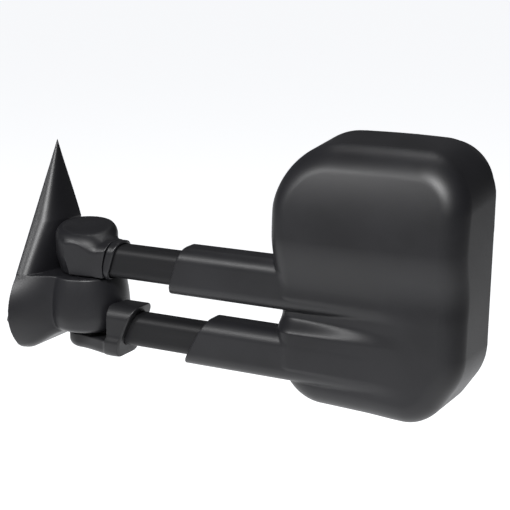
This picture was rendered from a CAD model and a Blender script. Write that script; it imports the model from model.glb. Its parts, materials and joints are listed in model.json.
import json
import math
from itertools import product

import bpy
import numpy as np
from mathutils import Matrix, Vector


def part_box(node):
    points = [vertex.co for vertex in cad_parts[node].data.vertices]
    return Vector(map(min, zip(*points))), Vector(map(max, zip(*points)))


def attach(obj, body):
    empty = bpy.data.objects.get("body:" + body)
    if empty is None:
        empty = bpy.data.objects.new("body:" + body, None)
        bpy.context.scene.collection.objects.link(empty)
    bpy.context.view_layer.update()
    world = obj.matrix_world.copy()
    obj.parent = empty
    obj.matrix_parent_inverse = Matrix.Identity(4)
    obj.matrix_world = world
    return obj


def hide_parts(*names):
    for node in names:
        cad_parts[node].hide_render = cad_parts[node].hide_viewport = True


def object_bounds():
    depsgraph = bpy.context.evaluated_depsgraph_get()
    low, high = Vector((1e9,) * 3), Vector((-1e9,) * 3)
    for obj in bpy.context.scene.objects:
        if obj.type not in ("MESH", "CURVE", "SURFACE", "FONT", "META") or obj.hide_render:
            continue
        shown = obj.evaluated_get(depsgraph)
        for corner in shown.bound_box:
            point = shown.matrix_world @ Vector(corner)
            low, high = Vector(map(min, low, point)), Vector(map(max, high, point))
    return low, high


# Telescoping towing mirror: moulded skins, arm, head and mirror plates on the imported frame.
# Shapes are worked in millimetres and laid down in metres; +X away from the door, +Y rearward, +Z up.

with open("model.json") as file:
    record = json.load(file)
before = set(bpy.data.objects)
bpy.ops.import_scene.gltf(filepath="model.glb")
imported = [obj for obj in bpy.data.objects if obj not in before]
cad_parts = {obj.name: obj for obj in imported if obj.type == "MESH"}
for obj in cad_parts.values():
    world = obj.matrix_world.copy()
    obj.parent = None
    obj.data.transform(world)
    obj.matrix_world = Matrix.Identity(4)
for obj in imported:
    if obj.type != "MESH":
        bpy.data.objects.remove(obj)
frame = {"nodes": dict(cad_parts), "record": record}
cad_low, cad_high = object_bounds()
MM = 0.001


# ---- measuring the frame ---------------------------------------------------------------------------------

def span(node):
    """Lowest and highest corner of a CAD node, in millimetres."""
    low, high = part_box(node)
    return np.array(low) / MM, np.array(high) / MM


def middle(node):
    low, high = span(node)
    return (low + high) / 2


# ---- distance fields: negative inside, arrays or numbers in millimetres ----------------------------------

def meet(a, b, rounding=0.0):
    """What two solids share, with the outside corner between them rounded."""
    if not rounding:
        return np.maximum(a, b)
    return np.minimum(np.maximum(a, b), -rounding) + np.hypot(np.maximum(a + rounding, 0),
                                                              np.maximum(b + rounding, 0))


def join(a, b, fillet=0.0):
    """Two solids as one, with a fillet in the inside corner between them."""
    return -meet(-a, -b, fillet)


def carve(a, b, rounding=0.0):
    """The first solid with the second taken out of it."""
    return meet(a, -b, rounding)


def ease(t):
    """0 to 1 with level ends."""
    t = np.clip(t, 0, 1)
    return t * t * (3 - 2 * t)


def bar(y, z, centre, deep, tall, rounding):
    """An endless bar along X with rounded corners."""
    q = np.abs(y - centre[1]) - deep / 2 + rounding
    w = np.abs(z - centre[2]) - tall / 2 + rounding
    return np.hypot(np.maximum(q, 0), np.maximum(w, 0)) + np.minimum(np.maximum(q, w), 0) - rounding


def post(x, y, centre, radius):
    """An endless upright cylinder."""
    return np.hypot(x - centre[0], y - centre[1]) - radius


# ---- pulling a mesh over a field -------------------------------------------------------------------------

def slope_of(field, points, reach):
    """The field and its gradient at each point."""
    here = field(*points.T)
    slope = np.stack([(field(*(points + reach * unit).T) - here) / reach for unit in np.eye(3)], 1)
    return here, slope


def draw_on(field, points, reach):
    """Moves points along the gradient onto the field's surface, never further than the reach."""
    here, slope = slope_of(field, points, reach * 0.1)
    move = slope * (here / np.maximum((slope ** 2).sum(1), 0.05))[:, None]
    length = np.linalg.norm(move, axis=1)[:, None]
    return points - move * np.minimum(1, reach / np.maximum(length, 1e-9))


def surface_net(field, low, high, step):
    """Points and quads where the field changes sign on a grid, evened out and drawn onto the surface."""
    axes = [np.arange(a, b + step, step) for a, b in zip(low, high)]
    shape = tuple(len(a) for a in axes)
    along, across, up = axes[0][:, None, None], axes[1][None, :, None], axes[2][None, None, :]
    level = np.broadcast_to(field(along, across, up), shape)
    solid = level < 0
    cells = tuple(n - 1 for n in shape)
    count = sum(solid[i:cells[0] + i, j:cells[1] + j, k:cells[2] + k].astype(np.int8)
                for i, j, k in product((0, 1), repeat=3))
    mixed = (count > 0) & (count < 8)
    number = np.full(cells, -1)
    number[mixed] = np.arange(mixed.sum())
    cell = np.argwhere(mixed)

    total, hits = np.zeros((len(cell), 3)), np.zeros(len(cell))
    for axis in range(3):
        for offset in product((0, 1), repeat=2):
            start = cell.copy()
            start[:, [a for a in range(3) if a != axis]] += offset
            end = start.copy()
            end[:, axis] += 1
            a, b = level[tuple(start.T)], level[tuple(end.T)]
            crossed = (a < 0) != (b < 0)
            place = start.astype(float)
            place[crossed, axis] += (a / np.where(crossed, a - b, 1))[crossed]
            total[crossed] += place[crossed]
            hits[crossed] += 1
    points = total / hits[:, None] * step + np.array([a[0] for a in axes])

    quads = []
    for axis in range(3):
        side, rise = (axis + 1) % 3, (axis + 2) % 3
        first = np.take(solid, range(cells[axis]), axis)
        second = np.take(solid, range(1, shape[axis]), axis)
        spot = np.argwhere(first != second)
        spot = spot[(spot[:, side] > 0) & (spot[:, rise] > 0)
                    & (spot[:, side] < cells[side]) & (spot[:, rise] < cells[rise])]
        ring = []
        for b, c in ((1, 1), (0, 1), (0, 0), (1, 0)):
            near = spot.copy()
            near[:, side] -= b
            near[:, rise] -= c
            ring.append(number[tuple(near.T)])
        ring = np.stack(ring, 1)
        outward = first[tuple(spot.T)]
        quads.append(np.where(outward[:, None], ring, ring[:, ::-1]))
    quads = np.concatenate(quads)

    ends = np.concatenate([quads[:, [i, (i + 1) % 4]] for i in range(4)])
    degree = np.bincount(ends[:, 0], minlength=len(points))[:, None]
    for _ in range(3):
        points = draw_on(field, points, step * 0.5)
        around = np.stack([np.bincount(ends[:, 0], points[ends[:, 1], i], len(points)) for i in range(3)], 1)
        points = points * 0.5 + around / degree * 0.5
    for _ in range(2):
        points = draw_on(field, points, step * 0.5)
    return points, quads


def moulded(name, field, low, high, step, body, finish, nodes):
    """A skin over a field, riding a body in place of its CAD nodes."""
    points, quads = surface_net(field, low, high, step)
    mesh = bpy.data.meshes.new(name)
    mesh.from_pydata((points * MM).tolist(), [], quads.tolist())
    slope = slope_of(field, points, 0.15)[1]
    slope /= np.maximum(np.linalg.norm(slope, axis=1), 1e-9)[:, None]
    mesh.shade_smooth()
    mesh.normals_split_custom_set_from_vertices(slope.tolist())
    mesh.materials.append(finish)
    piece = bpy.data.objects.new(name, mesh)
    bpy.context.scene.collection.objects.link(piece)
    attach(piece, body)
    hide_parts(*nodes)


# ---- finishes --------------------------------------------------------------------------------------------

class Wire:
    """A socket in a finish's node tree; arithmetic on it adds Math nodes."""

    def __init__(self, finish, socket):
        self.finish, self.socket = finish, socket

    def _math(self, operation, *terms):
        return self.finish.node("ShaderNodeMath", {"operation": operation}, dict(enumerate(terms)))

    def __add__(self, other):
        return self._math("ADD", self, other)

    def __radd__(self, other):
        return self._math("ADD", other, self)

    def __sub__(self, other):
        return self._math("SUBTRACT", self, other)

    def __mul__(self, other):
        return self._math("MULTIPLY", self, other)


class Finish:
    """A procedural finish. node() adds any node: its type, its settings, then what its sockets take."""

    def __init__(self, name, **shader):
        self.material = bpy.data.materials.new(name)
        self.material.use_nodes = True
        self.tree = self.material.node_tree
        self.tree.nodes.clear()
        self.place = self.node("ShaderNodeTexCoord", output="Object")
        self.shader_values = shader

    def node(self, kind, settings=None, sockets=None, output=0):
        made = self.tree.nodes.new(kind)
        for setting, value in (settings or {}).items():
            setattr(made, setting, value)
        for socket, value in (sockets or {}).items():
            if isinstance(value, Wire):
                self.tree.links.new(value.socket, made.inputs[socket])
            else:
                made.inputs[socket].default_value = value
        return None if output is None else Wire(self, made.outputs[output])

    def noise(self, scale, detail=2.0, rough=0.5, place=None):
        """Cloudy noise from 0 to 1; the scale is in cells to the metre."""
        return self.node("ShaderNodeTexNoise", {"noise_dimensions": "3D"},
                         {"Vector": place or self.place, "Scale": scale, "Detail": detail,
                          "Roughness": rough})

    def cells(self, scale):
        """Distance to the nearest of scattered points; the scale is in points to the metre."""
        return self.node("ShaderNodeTexVoronoi", {"feature": "F1"}, {"Vector": self.place, "Scale": scale},
                         "Distance")

    def stretched(self, x, y, z):
        """Object coordinates drawn out along an axis, for brushed and drawn marks."""
        return self.node("ShaderNodeVectorMath", {"operation": "MULTIPLY"}, {0: self.place, 1: (x, y, z)})

    def between(self, mask, low, high):
        """The mask taken from its own spread to 0..1, softly."""
        return self.node("ShaderNodeMapRange", {"interpolation_type": "SMOOTHSTEP", "clamp": True},
                         {"Value": mask, "From Min": low, "From Max": high, "To Min": 0.0, "To Max": 1.0})

    def tint(self, mask, first, second):
        """A colour between two, by the mask."""
        return self.node("ShaderNodeMix", {"data_type": "RGBA"},
                         {"Factor": mask, 6: (*first, 1), 7: (*second, 1)}, output=2)

    def tinted(self, mask, colour, second):
        """A colour socket taken towards a second colour, by the mask."""
        return self.node("ShaderNodeMix", {"data_type": "RGBA"}, {"Factor": mask, 6: colour, 7: (*second, 1)},
                         output=2)

    def edges(self):
        """1 along worn outside edges."""
        pointed = self.node("ShaderNodeNewGeometry", output="Pointiness")
        return self.between(pointed, 0.52, 0.62)

    def done(self, colour, roughness, height, distance, strength=1.0, metallic=0.0):
        bump = self.node("ShaderNodeBump", {}, {"Strength": strength, "Distance": distance, "Height": height})
        values = {"Base Color": colour, "Roughness": roughness, "Normal": bump, "Metallic": metallic,
                  **self.shader_values}
        shader = self.node("ShaderNodeBsdfPrincipled", {}, values)
        self.node("ShaderNodeOutputMaterial", {}, {"Surface": shader}, output=None)
        return self.material


def grained_black(name, shade, grain=1300.0, roughness=0.46, depth=0.00012):
    """Injection-moulded black plastic with an etched grain, rubbed a little along its edges."""
    f = Finish(name, **{"IOR": 1.42})
    pores = f.cells(grain)
    fine = f.noise(grain * 1.7, 2.0)
    cloud = f.noise(14.0, 3.0)
    dark, light = (tuple(c * k for c in shade) for k in (0.82, 1.2))
    worn = tuple(c * 2.4 for c in shade)
    colour = f.tinted(f.edges() * 0.5, f.tint(f.between(cloud, 0.3, 0.7), dark, light), worn)
    grain_height = pores * 0.7 + fine * 0.3
    return f.done(colour, roughness - 0.05 + cloud * 0.1 - pores * 0.06, grain_height, depth, 0.35)


def painted_black(name, shade):
    """Powder-coated steel: faint orange peel and sliding marks along the tube."""
    f = Finish(name, **{"IOR": 1.33})
    peel = f.noise(420.0, 2.0)
    marks = f.noise(1.0, 3.0, place=f.stretched(9, 700, 700))
    rub = f.between(marks, 0.56, 0.74)
    colour = f.tint(rub, shade, tuple(c * 1.7 for c in shade))
    return f.done(colour, 0.50 + rub * 0.10, peel, 0.00012, 0.3)


def cast_metal(name):
    f = Finish(name, **{"IOR": 1.45})
    sand, cloud = f.noise(900.0, 3.0), f.noise(40.0, 3.0)
    colour = f.tinted(f.edges(), f.tint(cloud, (0.26, 0.26, 0.27), (0.42, 0.42, 0.43)), (0.62, 0.62, 0.63))
    return f.done(colour, 0.42 + cloud * 0.2, sand, 0.0002, 0.6, 0.9)


def zinc_plate(name):
    f = Finish(name, **{"IOR": 1.45})
    cloud, fine = f.noise(160.0, 3.0), f.noise(1500.0, 2.0)
    colour = f.tint(f.between(cloud, 0.3, 0.7), (0.50, 0.51, 0.52), (0.70, 0.70, 0.69))
    return f.done(colour, 0.24 + cloud * 0.2, fine, 0.00005, 0.4, 1.0)


def rubber(name):
    f = Finish(name, **{"IOR": 1.5})
    bloom, fine = f.noise(60.0, 4.0), f.noise(2200.0, 2.0)
    colour = f.tint(f.between(bloom, 0.35, 0.75), (0.012, 0.012, 0.013), (0.035, 0.035, 0.036))
    return f.done(colour, 0.72 + bloom * 0.15, fine, 0.00008, 0.4)


def nylon(name, first, second):
    """Unpainted moulded plastic inside the head and at the pivot."""
    f = Finish(name, **{"IOR": 1.5})
    cloud, fine = f.noise(50.0, 3.0), f.noise(1600.0, 2.0)
    colour = f.tinted(f.edges() * 0.4, f.tint(cloud, first, second), tuple(min(c * 1.8, 0.9) for c in second))
    return f.done(colour, 0.45 + cloud * 0.12, fine, 0.00008, 0.4)


def silvered_glass(name):
    """Mirror glass: near-perfect silver under a thin film of dust that gathers in patches."""
    f = Finish(name, **{"IOR": 1.52})
    film, wave = f.noise(24.0, 4.0), f.noise(3.0, 1.0)
    colour = f.tint(f.between(film, 0.35, 0.8), (0.86, 0.88, 0.89), (0.80, 0.82, 0.83))
    return f.done(colour, 0.015 + f.between(film, 0.5, 0.9) * 0.05, wave, 0.0001, 0.05, 1.0)


def foam(name):
    f = Finish(name, **{"IOR": 1.4})
    pores, cloud = f.cells(1800.0), f.noise(90.0, 2.0)
    colour = f.tint(cloud, (0.10, 0.10, 0.10), (0.17, 0.17, 0.165))
    return f.done(colour, 0.85 + cloud * 0.1, pores, 0.0003, 0.8)


SHELL_SHADE = (0.0072, 0.0072, 0.0086)
shell_black = grained_black("etched_black_plastic", SHELL_SHADE)
foot_black = grained_black("etched_black_foot", SHELL_SHADE, 1500.0, 0.42)
arm_black = grained_black("black_coated_casting", (0.0068, 0.0068, 0.0078), 1000.0, 0.47)
bezel_black = grained_black("satin_black_plastic", (0.0075, 0.0075, 0.0082), 1900.0, 0.38)
tube_black = painted_black("black_painted_steel", (0.005, 0.005, 0.0058))
alloy = cast_metal("cast_alloy")
zinc = zinc_plate("zinc_plated_steel")
seal = rubber("seal_rubber")
bearing = nylon("bearing_nylon", (0.055, 0.055, 0.058), (0.085, 0.085, 0.088))
carrier_grey = nylon("frame_plastic", (0.020, 0.020, 0.021), (0.038, 0.038, 0.039))
mirror = silvered_glass("mirror_glass")
pad_foam = foam("foam_pad")

SLOT_FINISH = {
    "textured_black_plastic": shell_black, "black_cast_arm": arm_black, "satin_black_plastic": bezel_black,
    "black_painted_steel": tube_black, "cast_alloy": alloy, "seal_rubber": seal, "zinc_steel": zinc,
    "bearing_plastic": bearing, "frame_plastic": carrier_grey, "mirror_glass": mirror, "foam_pad": pad_foam,
}


def finish_nodes():
    """Every CAD node takes the finish of its material slot."""
    for entry in frame["record"]["subparts"]:
        for place in frame["nodes"][entry["node"]].material_slots:
            place.material = SLOT_FINISH[entry["material_slot"]]


# ---- the head: one moulding with both sleeves ------------------------------------------------------------

PIVOT = middle("pivot_post")
UPPER, LOWER = middle("upper_arm_tube"), middle("lower_arm_tube")
SHELL_LOW, SHELL_HIGH = span("head_shell")
BEZEL_LOW, BEZEL_HIGH = span("glass_bezel")
WALL = 2.8
SLEEVE = dict(deep=42.0, tall=52.0, rounding=15.0)
MOUTHS = ((UPPER, 195.0, 17.0), (LOWER, 224.0, 29.0))      # arm, mouth at its top, slant
HEAD_IN = BEZEL_LOW[0] - 3.0
RIDGE_END = HEAD_IN + 130
TOP_DRAFT, SIDE_DRAFT = 0.105, 0.035     # how much the top and the outboard side close in towards the front
TOP_CROWN = 4.0                          # fall of the top edge 100 mm from its middle
FACE_Y = -36.5                           # the face where it stands foremost, above the arms
FACE_SETBACK = 14.5                      # how much further back the face is below that bulge
FACE_BROW = 12.0                         # how strongly it rolls back towards the top
RECESS = 11.5                            # how far it steps back under each arm
BEZEL_PROUD = 0.6                        # how far the bezel stands out rearward of the shell's rim


def rounded_outline(x, z, corners):
    """Distance to a convex outline given anticlockwise as corners with radii: positive outside."""
    places = [np.array(corner[:2], float) for corner in corners]
    normals = []
    for this, following in zip(places, places[1:] + places[:1]):
        along = (following - this) / np.linalg.norm(following - this)
        normals.append(np.array([along[1], -along[0]]))
    away = -np.inf
    for place, normal in zip(places, normals):
        away = np.maximum(away, (x - place[0]) * normal[0] + (z - place[1]) * normal[1])
    for i, (place, (_, _, radius)) in enumerate(zip(places, corners)):
        before, after = normals[i - 1], normals[i]
        centre = place - (before + after) / (1 + before @ after) * radius
        dx, dz = x - centre[0], z - centre[1]
        within = (before[0] * dz - before[1] * dx >= 0) & (after[1] * dx - after[0] * dz >= 0)
        away = np.where(within, np.maximum(away, np.hypot(dx, dz) - radius), away)
    return away


def head_outline(x, y, z):
    """The head's sides: top drafted towards the front, the lower outboard corner cut off."""
    depth = SHELL_HIGH[1] - y
    out = SHELL_HIGH[0] + 0.4
    near_top = ease((z - 60) / 90)
    rise = z + depth * TOP_DRAFT * near_top + TOP_CROWN * ((x - 395) / 100) ** 2 * near_top
    across = x + depth * SIDE_DRAFT * ease((x - 430) / 50)
    return rounded_outline(across, rise, [
        (HEAD_IN, SHELL_HIGH[2], 64), (HEAD_IN, SHELL_LOW[2], 46), (464.0, SHELL_LOW[2] + 1.5, 46),
        (out - 3.0, -21, 60), (out, SHELL_HIGH[2], 50)])


def head_face(x, z):
    """How far forward the face stands: bulging high up, stepped back under each arm near the door side."""
    bulge = FACE_Y + FACE_SETBACK * ease((100 - z) / 58) + FACE_BROW * np.maximum((z - 98) / 75, 0) ** 2
    bow = 1.5 * ((x - 385) / 100) ** 2
    swell = -3.5 * ease((x - (RIDGE_END - 35)) / 50) * ease((70 - z) / 40)
    step = RECESS * (1 - ease((x - (HEAD_IN + 5)) / 150))
    under_upper = ease((UPPER[2] - 8 - z) / 14) * (1 - ease((16 - z) / 16))
    under_lower = ease((LOWER[2] - 8 - z) / 14)
    return bulge + bow * ease((z - 40) / 60) + swell + step * (under_upper + under_lower)


def head_solid(x, y, z):
    face = (head_face(x, z) - y) * 0.97
    body = meet(head_outline(x, y, z), face, 22)
    for arm, mouth, slant in MOUTHS:
        top = arm[2] + SLEEVE["tall"] / 2
        lean = slant / SLEEVE["tall"]
        end = (mouth - lean * (top - z) - x) / math.hypot(1, lean)
        far = x - (RIDGE_END + 25)
        sleeve = meet(meet(bar(y, z, arm, **SLEEVE), end, 1.4), far)
        body = join(body, sleeve, 1.6)
    return body


def head_skin(x, y, z):
    outside = head_solid(x, y, z)
    inside = outside + WALL + 2.4 * ease((42 - y) / 10)
    bores = np.inf
    for arm, _, _ in MOUTHS:
        bore = bar(y, z, arm, SLEEVE["deep"] - 2 * WALL, SLEEVE["tall"] - 2 * WALL, SLEEVE["rounding"] - WALL)
        bores = np.minimum(bores, meet(bore, x - (HEAD_IN + 94)))
    hollow = np.minimum(inside, bores)
    return meet(carve(outside, hollow, 0.9), y - (BEZEL_HIGH[1] - BEZEL_PROUD), 0.9)


# ---- the door foot: foot, pot and sail -------------------------------------------------------------------

FOOT_LOW, FOOT_HIGH = span("sail_cover")
DOOR_X = FOOT_LOW[0]
REAR_Y = span("door_gasket")[1][1] + 2.0
SHELF_Z = 27.0
POT_FLOOR, POT_RADIUS, POT_WIDEST_Z = -34.0, 45.4, -14.0
NOSE_Y, NOSE_Z = -59.8, -16.0            # the foot's foremost point, on the door
CREASE_X, CREASE_Y = 45.6, -27.0         # where the foot's flat face meets the pot
FOOT_FLOOR, FLOOR_CLIMB = -56.8, 21.0    # the foot's bottom at the door, and how far it climbs to the pot
SAIL_FRONT_Y, SAIL_RUN = -41.0, 82.5     # the sail's front at the shelf, and its run back to the corner
SAIL_DEEP, SAIL_FULL_Z = 26.5, 78.0      # how far the sail stands out, up to this height
SAIL_ROUND = 2.6                         # power of its plan curve: 2 is an ellipse, more is squarer


def foot_solid(x, y, z):
    """Flat-faced foot whose bottom edge climbs from the door to the pot."""
    nose = NOSE_Y + np.where(z > NOSE_Z, 0.0098, 0.013) * (z - NOSE_Z) ** 2
    run = (CREASE_Y - nose) / (CREASE_X - DOOR_X)
    face = (nose + (x - DOOR_X) * run - y) / np.hypot(1, run)
    floor = FOOT_FLOOR + FLOOR_CLIMB * ease((x - 6) / 44) - z
    body = meet(meet(face, floor, 7), y - REAR_Y, 3)
    body = meet(body, x - PIVOT[0])
    return meet(body, z - SHELF_Z, 1.2)


def pot_solid(x, y, z):
    """The bulging pot round the fold pivot."""
    reach = np.where(z > POT_WIDEST_Z, SHELF_Z - POT_WIDEST_Z, POT_WIDEST_Z - POT_FLOOR)
    swell = POT_RADIUS - 5 * ((z - POT_WIDEST_Z) / reach) ** 2
    side = (np.hypot(x - PIVOT[0], y - PIVOT[1]) - swell) * 0.95
    return meet(meet(side, z - SHELF_Z, 2.0), POT_FLOOR - z, 7)


def sail_solid(x, y, z):
    """The sail above the shelf: a rounded wedge in plan, thinning to the top corner."""
    top = FOOT_HIGH[2] + 2.0
    rear = REAR_Y - 4.5 * ease((z - SAIL_FULL_Z) / (top - SAIL_FULL_Z))
    front = SAIL_FRONT_Y + SAIL_RUN * np.maximum(z - SHELF_Z, 0) / (top - SHELF_Z)
    deep = np.clip(SAIL_DEEP * (top + 2 - z) / (top - SAIL_FULL_Z), 0.8, SAIL_DEEP)
    long = np.maximum(rear - front, 1.5)
    out, back = np.maximum(x - DOOR_X, 0) / deep, np.maximum(rear - y, 0) / long
    curve = (out ** SAIL_ROUND + back ** SAIL_ROUND + 1e-9) ** (1 / SAIL_ROUND) - 1
    wedge = curve * np.minimum(deep, long) * 0.9
    return meet(meet(meet(wedge, y - rear, 1.0), z - top), SHELF_Z - 3 - z)


def door_skin(x, y, z):
    shell = join(join(foot_solid(x, y, z), pot_solid(x, y, z), 1.6), sail_solid(x, y, z), 1.2)
    hollow = shell + 4.2
    shell = meet(shell, DOOR_X - x, 0.5)
    shell = carve(shell, hollow, 0.5)
    boss = meet(post(x, y, PIVOT, 20.6), z - (POT_FLOOR + 8))
    ring = meet(post(x, y, PIVOT, 24.6), SHELF_Z - 8 - z)
    return carve(shell, np.minimum(boss, ring), 0.5)


# ---- knuckle, collar and lower arm root ------------------------------------------------------------------

KNUCKLE_LOW, KNUCKLE_HIGH = span("knuckle_cover")
SEAM_X = span("arm_collar")[0][0]
DOME_RADIUS, DOME_TAPER = 33.8, 5.0      # the knuckle's radius, and what it loses towards the foot
CAP_DROP, CAP_LEAN = 3.5, 0.2            # the cap's middle below the top, and its slope towards the front
DISH_RADIUS = 122.0                      # the sphere that dishes the cap
DISH_CENTRE = (11.1, -20.8, 114.2)       # its centre, from the pivot and the top


def seam_at(z):
    """The seam between knuckle and collar leans outboard as it climbs."""
    return SEAM_X + 1.0 + 7.0 * ease((z - 38) / 34)


def facet(x, z):
    """The slanting flat on the knuckle's front, below a crease that climbs towards the arm."""
    edge = (x - PIVOT[0] - 9) * 0.73 - (z - 35) * 0.68
    return -20.6 + 0.12 * edge


def knuckle_solid(x, y, z):
    """A round knuckle with a dished cap leaning forward, flowing into a neck with one slanting flat."""
    top = KNUCKLE_HIGH[2]
    dx, dy = x - PIVOT[0], y - PIVOT[1]
    forward = 0.47 * dx - 0.883 * dy
    cap = (z - (top - CAP_DROP) + CAP_LEAN * forward) * 0.97
    dome = meet(np.hypot(dx, dy) - (DOME_RADIUS - DOME_TAPER * ease((52 - z) / 26)), cap, 12)
    dome = meet(dome, z - top, 4)
    sideways = np.hypot(dx - DISH_CENTRE[0], dy - DISH_CENTRE[1])
    bowl = np.hypot(sideways, z - (top + DISH_CENTRE[2])) - DISH_RADIUS
    dome = carve(dome, bowl, 4)
    neck = meet(bar(y, z, (0, 0.5, UPPER[2] - 1.5), 43, 45, 15), PIVOT[0] - x)
    body = join(dome, neck, 9)
    body = meet(body, (facet(x, z) - y) * 0.98, 0.6)
    body = meet(body, x - (seam_at(z) - 0.5), 1.0)
    return meet(body, KNUCKLE_LOW[2] - z, 2.5)


def knuckle_skin(x, y, z):
    room = np.minimum(meet(post(x, y, PIVOT, 15.6), z - (KNUCKLE_HIGH[2] - 9.6)),
                      meet(post(x, y, PIVOT, 25.5), z - (KNUCKLE_HIGH[2] - 16.4)))
    neck_room = meet(bar(y, z, UPPER, 33, 38, 11), PIVOT[0] - x)
    low_room = meet(meet(np.abs(y) - 16, z - UPPER[2]), np.maximum(PIVOT[0] - x, x - (seam_at(z) - 3.2)))
    room = meet(np.minimum(np.minimum(room, neck_room), low_room), facet(x, z) + 2.4 - y)
    return carve(knuckle_solid(x, y, z), room, 0.6)


def collar_skin(x, y, z):
    outer = bar(y, z, UPPER, 35, 42.5, 12.5)
    lean = 17.0 / 52
    end = (x - (117 - lean * (UPPER[2] + 26 - z))) / math.hypot(1, lean)
    ring = meet(meet(outer, end, 2.0), seam_at(z) - x, 1.0)
    bore = bar(y, z, UPPER, 28.6, 36.6, 10.3)
    room = meet(bar(y, z, UPPER, 30.6, 38.6, 11), x - 105)
    ring = carve(carve(ring, bore, 0.8), room)
    sweep = meet(post(x, y, PIVOT, 43), z - (SHELF_Z + 1))
    return carve(ring, sweep)


ROOT_LOW, ROOT_HIGH = span("lower_arm_root")


def root_solid(x, y, z):
    floor, roof = ROOT_LOW[2], ROOT_LOW[2] + 18
    grow = ease((x - PIVOT[0]) / 50)
    half = 22 - 0.5 * grow
    centre_y = PIVOT[1] * (1 - grow)
    plan = np.where(x > PIVOT[0], np.abs(y - centre_y) - half, np.hypot(x - PIVOT[0], y - PIVOT[1]) - 22)
    tongue = meet(meet(plan, floor - z, 8), z - roof, 2)
    tongue = meet(tongue, x - (PIVOT[0] + 56))
    lean = 25.0 / 52
    end = (x - (138 - lean * (LOWER[2] + 26 - z))) / math.hypot(1, lean)
    socket = meet(bar(y, z, LOWER, 44, 54, 15), end, 2.0)
    socket = meet(socket, (PIVOT[0] + 44) - x)
    sweep = meet(post(x, y, PIVOT, 49), roof - z)
    return carve(join(tongue, socket, 8), sweep, 1.5)


def root_skin(x, y, z):
    bore = meet(bar(y, z, LOWER, 28.2, 36.2, 10.1), (PIVOT[0] + 54) - x)
    hub = post(x, y, PIVOT, 11.5)
    recess = meet(post(x, y, PIVOT, 14), z - (ROOT_LOW[2] + 6))
    return carve(root_solid(x, y, z), np.minimum(np.minimum(bore, hub), recess), 0.6)


HEAD_STEP, FOOT_STEP, FINE_STEP = 1.7, 1.2, 1.0      # grid spacing of each skin


def pieces():
    moulded("head_moulding", head_skin, SHELL_LOW - 3, SHELL_HIGH + 3, HEAD_STEP, "head",
            shell_black, ["head_shell"])
    moulded("door_foot_moulding", door_skin, FOOT_LOW - 3, FOOT_HIGH + 3, FOOT_STEP, "door_mount",
            foot_black, ["sail_cover"])
    moulded("knuckle_moulding", knuckle_skin, KNUCKLE_LOW - 4, KNUCKLE_HIGH + (9, 4, 4), FINE_STEP,
            "arm_bracket", foot_black, ["knuckle_cover"])
    collar_low, collar_high = span("arm_collar")
    moulded("collar_moulding", collar_skin, collar_low - 4, collar_high + 4, FINE_STEP, "arm_bracket",
            foot_black, ["arm_collar"])
    moulded("lower_root_casting", root_skin, ROOT_LOW - 6, ROOT_HIGH + 6, FINE_STEP, "arm_bracket",
            arm_black, ["lower_arm_root"])


# ---- stage -----------------------------------------------------------------------------------------------

def camera():
    """Long lens from the front, outboard and a little above."""
    azimuth, elevation = math.radians(28), math.radians(13.7)
    back = Vector((math.sin(azimuth) * math.cos(elevation), -math.cos(azimuth) * math.cos(elevation),
                   math.sin(elevation)))
    right = Vector((math.cos(azimuth), math.sin(azimuth), 0))
    up = back.cross(right)
    data = bpy.data.cameras.new("camera")
    data.sensor_width, data.lens = 36, 91.8
    data.clip_start, data.clip_end = 0.05, 60
    eye = bpy.data.objects.new("camera", data)
    turn = Matrix((right, up, back)).transposed().to_4x4()
    eye.matrix_world = Matrix.Translation(Vector((0.8676, -1.1202, 0.3801))) @ turn
    bpy.context.scene.collection.objects.link(eye)
    bpy.context.scene.camera = eye


def softbox(name, towards, distance, size, power):
    """A rectangular area light aimed at the middle of the mirror."""
    aim = (cad_low + cad_high) / 2
    data = bpy.data.lights.new(name, "AREA")
    data.shape, data.size, data.size_y = "RECTANGLE", *size
    data.energy = power
    lamp = bpy.data.objects.new(name, data)
    way = Vector(towards).normalized()
    lamp.location = aim + way * distance
    lamp.rotation_mode = "QUATERNION"
    lamp.rotation_quaternion = way.to_track_quat("Z", "Y")
    bpy.context.scene.collection.objects.link(lamp)


def studio():
    """Three lamps over a pale floor that glows under and behind the mirror, less in front and outboard."""
    floor_mesh = bpy.data.meshes.new("floor")
    reach, level = 30.0, cad_low[2] - 0.30
    floor_mesh.from_pydata([(-reach, -reach, level), (reach, -reach, level), (reach, reach, level),
                            (-reach, reach, level)], [], [(0, 1, 2, 3)])
    f = Finish("pale_floor", **{"IOR": 1.45, "Emission Strength": 0.92})
    cloud = f.noise(0.8, 2.0)
    behind = f.between(f.node("ShaderNodeSeparateXYZ", {}, {"Vector": f.place}, "Y"), -0.95, -0.25)
    outboard = f.between(f.node("ShaderNodeSeparateXYZ", {}, {"Vector": f.place}, "X"), 1.3, 0.6)
    f.shader_values["Emission Color"] = f.tint(behind * outboard, (0.20, 0.20, 0.205), (0.97, 0.98, 1.0))
    pale = f.tint(cloud, (0.50, 0.50, 0.50), (0.52, 0.52, 0.52))
    floor_mesh.materials.append(f.done(pale, 0.85 + cloud * 0.05, cloud, 0.001, 0.05))
    floor = bpy.data.objects.new("floor", floor_mesh)
    bpy.context.scene.collection.objects.link(floor)

    world = bpy.data.worlds.new("studio")
    bpy.context.scene.world = world
    world.use_nodes = True
    world.node_tree.nodes["Background"].inputs["Color"].default_value = (0.96, 0.97, 1, 1)
    world.node_tree.nodes["Background"].inputs["Strength"].default_value = 0.07

    softbox("key_left", (-0.44, -0.76, 0.50), 2.2, (0.7, 0.4), 26)
    softbox("high_front", (0.22, -0.66, 0.68), 2.0, (0.7, 0.35), 50)
    softbox("top_back", (-0.10, 0.35, 0.93), 2.4, (1.2, 0.5), 9)
    bpy.context.scene.view_settings.view_transform = "Standard"


camera()
finish_nodes()
pieces()
studio()
